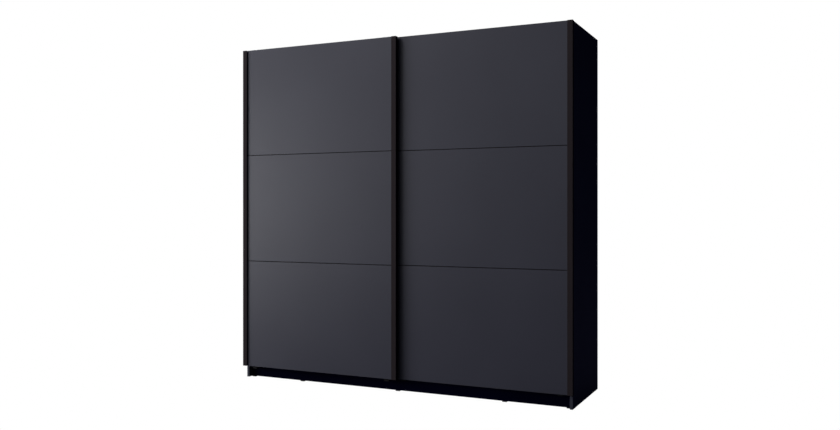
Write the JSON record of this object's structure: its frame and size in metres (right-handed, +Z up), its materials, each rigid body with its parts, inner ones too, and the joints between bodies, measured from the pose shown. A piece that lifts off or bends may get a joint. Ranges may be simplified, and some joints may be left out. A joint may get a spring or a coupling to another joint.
{
  "type": "sliding door wardrobe",
  "caption": "Tall graphite wardrobe with overlapping hanging doors in stacked panels, dark handle profiles, shelves, clothes rails and a recessed plinth.",
  "frame": {"origin": "on the floor under the middle of the whole wardrobe, closed doors included", "axes": "+X to the right seen from the front, +Y to the back, +Z up"},
  "size_m": [2.15, 0.627, 2.1095],
  "materials": {
    "graphite_board": "matte graphite foil with a fine grain",
    "interior_board": "matte textile-look decor",
    "hardboard": "thin lacquered hardboard",
    "plinth_board": "matte black foil",
    "door_board": "matte graphite foil with a soft sheen",
    "joint_strip": "matte black",
    "handle_profile": "brown black anodised, satin",
    "black_plastic": "matte moulded plastic",
    "bright_aluminium": "satin anodised",
    "dark_aluminium": "dark anodised, satin",
    "zinc_steel": "zinc plated",
    "black_steel": "matte black paint",
    "white_nylon": "moulded nylon"
  },
  "bodies": {
    "carcass": {"left_side": "graphite_board", "right_side": "graphite_board", "centre_partition": "interior_board", "top_board_left": "interior_board", "top_board_right": "interior_board", "bottom_board_left": "interior_board", "bottom_board_right": "interior_board", "back_panel_1": "hardboard", "back_panel_2": "hardboard", "back_panel_3": "hardboard", "back_panel_4": "hardboard", "back_joint_strips": "black_plastic", "plinth_front": "plinth_board", "plinth_rear": "plinth_board", "plinth_cross": "plinth_board", "plinth_glides": "black_plastic", "side_glides": "black_plastic", "shelf_left": "interior_board", "shelf_right": "interior_board", "clothes_rail_left": "bright_aluminium", "clothes_rail_right": "bright_aluminium", "rail_brackets": "zinc_steel", "shelf_pins": "zinc_steel", "cam_fittings": "zinc_steel", "cam_bolts": "zinc_steel", "top_track": "bright_aluminium", "track_screws": "zinc_steel", "track_stops": "black_plastic", "guide_rail": "dark_aluminium", "guide_rail_screws": "zinc_steel", "wall_brackets": "zinc_steel"},
    "left_door": {"left_door_panel_bottom": "door_board", "left_door_panel_middle": "door_board", "left_door_panel_top": "door_board", "left_door_joint_strips": "joint_strip", "left_door_handle_left": "handle_profile", "left_door_handle_right": "handle_profile", "left_door_end_caps": "black_plastic", "left_door_hangers": "zinc_steel", "left_door_axles": "zinc_steel", "left_door_guide_arms": "black_steel", "left_door_guide_shoes": "black_plastic", "left_door_screws": "zinc_steel"},
    "right_door": {"right_door_panel_bottom": "door_board", "right_door_panel_middle": "door_board", "right_door_panel_top": "door_board", "right_door_joint_strips": "joint_strip", "right_door_handle_left": "handle_profile", "right_door_handle_right": "handle_profile", "right_door_end_caps": "black_plastic", "right_door_hangers": "zinc_steel", "right_door_axles": "zinc_steel", "right_door_guide_arms": "black_steel", "right_door_guide_shoes": "black_plastic", "right_door_screws": "zinc_steel"},
    "left_door_roller_left_body": {"left_door_roller_left": "white_nylon"},
    "left_door_roller_right_body": {"left_door_roller_right": "white_nylon"},
    "right_door_roller_left_body": {"right_door_roller_left": "white_nylon"},
    "right_door_roller_right_body": {"right_door_roller_right": "white_nylon"}
  },
  "joints": [
    {"name": "left_door_slide", "type": "slide", "parent": "carcass", "child": "left_door", "axis": [1, 0, 0], "range_m": [0, 1.05]},
    {"name": "right_door_slide", "type": "slide", "parent": "carcass", "child": "right_door", "axis": [1, 0, 0], "range_m": [-1.05, 0]},
    {"name": "left_door_roller_left_spin", "type": "hinge", "parent": "left_door", "child": "left_door_roller_left_body", "pos_m": [-1, -0.222, 2.0783], "axis": [0, 1, 0], "continuous": true},
    {"name": "left_door_roller_right_spin", "type": "hinge", "parent": "left_door", "child": "left_door_roller_right_body", "pos_m": [-0.05, -0.222, 2.0783], "axis": [0, 1, 0], "continuous": true},
    {"name": "right_door_roller_left_spin", "type": "hinge", "parent": "right_door", "child": "right_door_roller_left_body", "pos_m": [0.05, -0.244, 2.0783], "axis": [0, 1, 0], "continuous": true},
    {"name": "right_door_roller_right_spin", "type": "hinge", "parent": "right_door", "child": "right_door_roller_right_body", "pos_m": [1, -0.244, 2.0783], "axis": [0, 1, 0], "continuous": true}
  ],
  "couplings": [
    {"joint": "left_door_roller_left_spin", "follows": "left_door_slide", "rad_per_m": 76.923},
    {"joint": "left_door_roller_right_spin", "follows": "left_door_slide", "rad_per_m": 76.923},
    {"joint": "right_door_roller_left_spin", "follows": "right_door_slide", "rad_per_m": 76.923},
    {"joint": "right_door_roller_right_spin", "follows": "right_door_slide", "rad_per_m": 76.923}
  ]
}
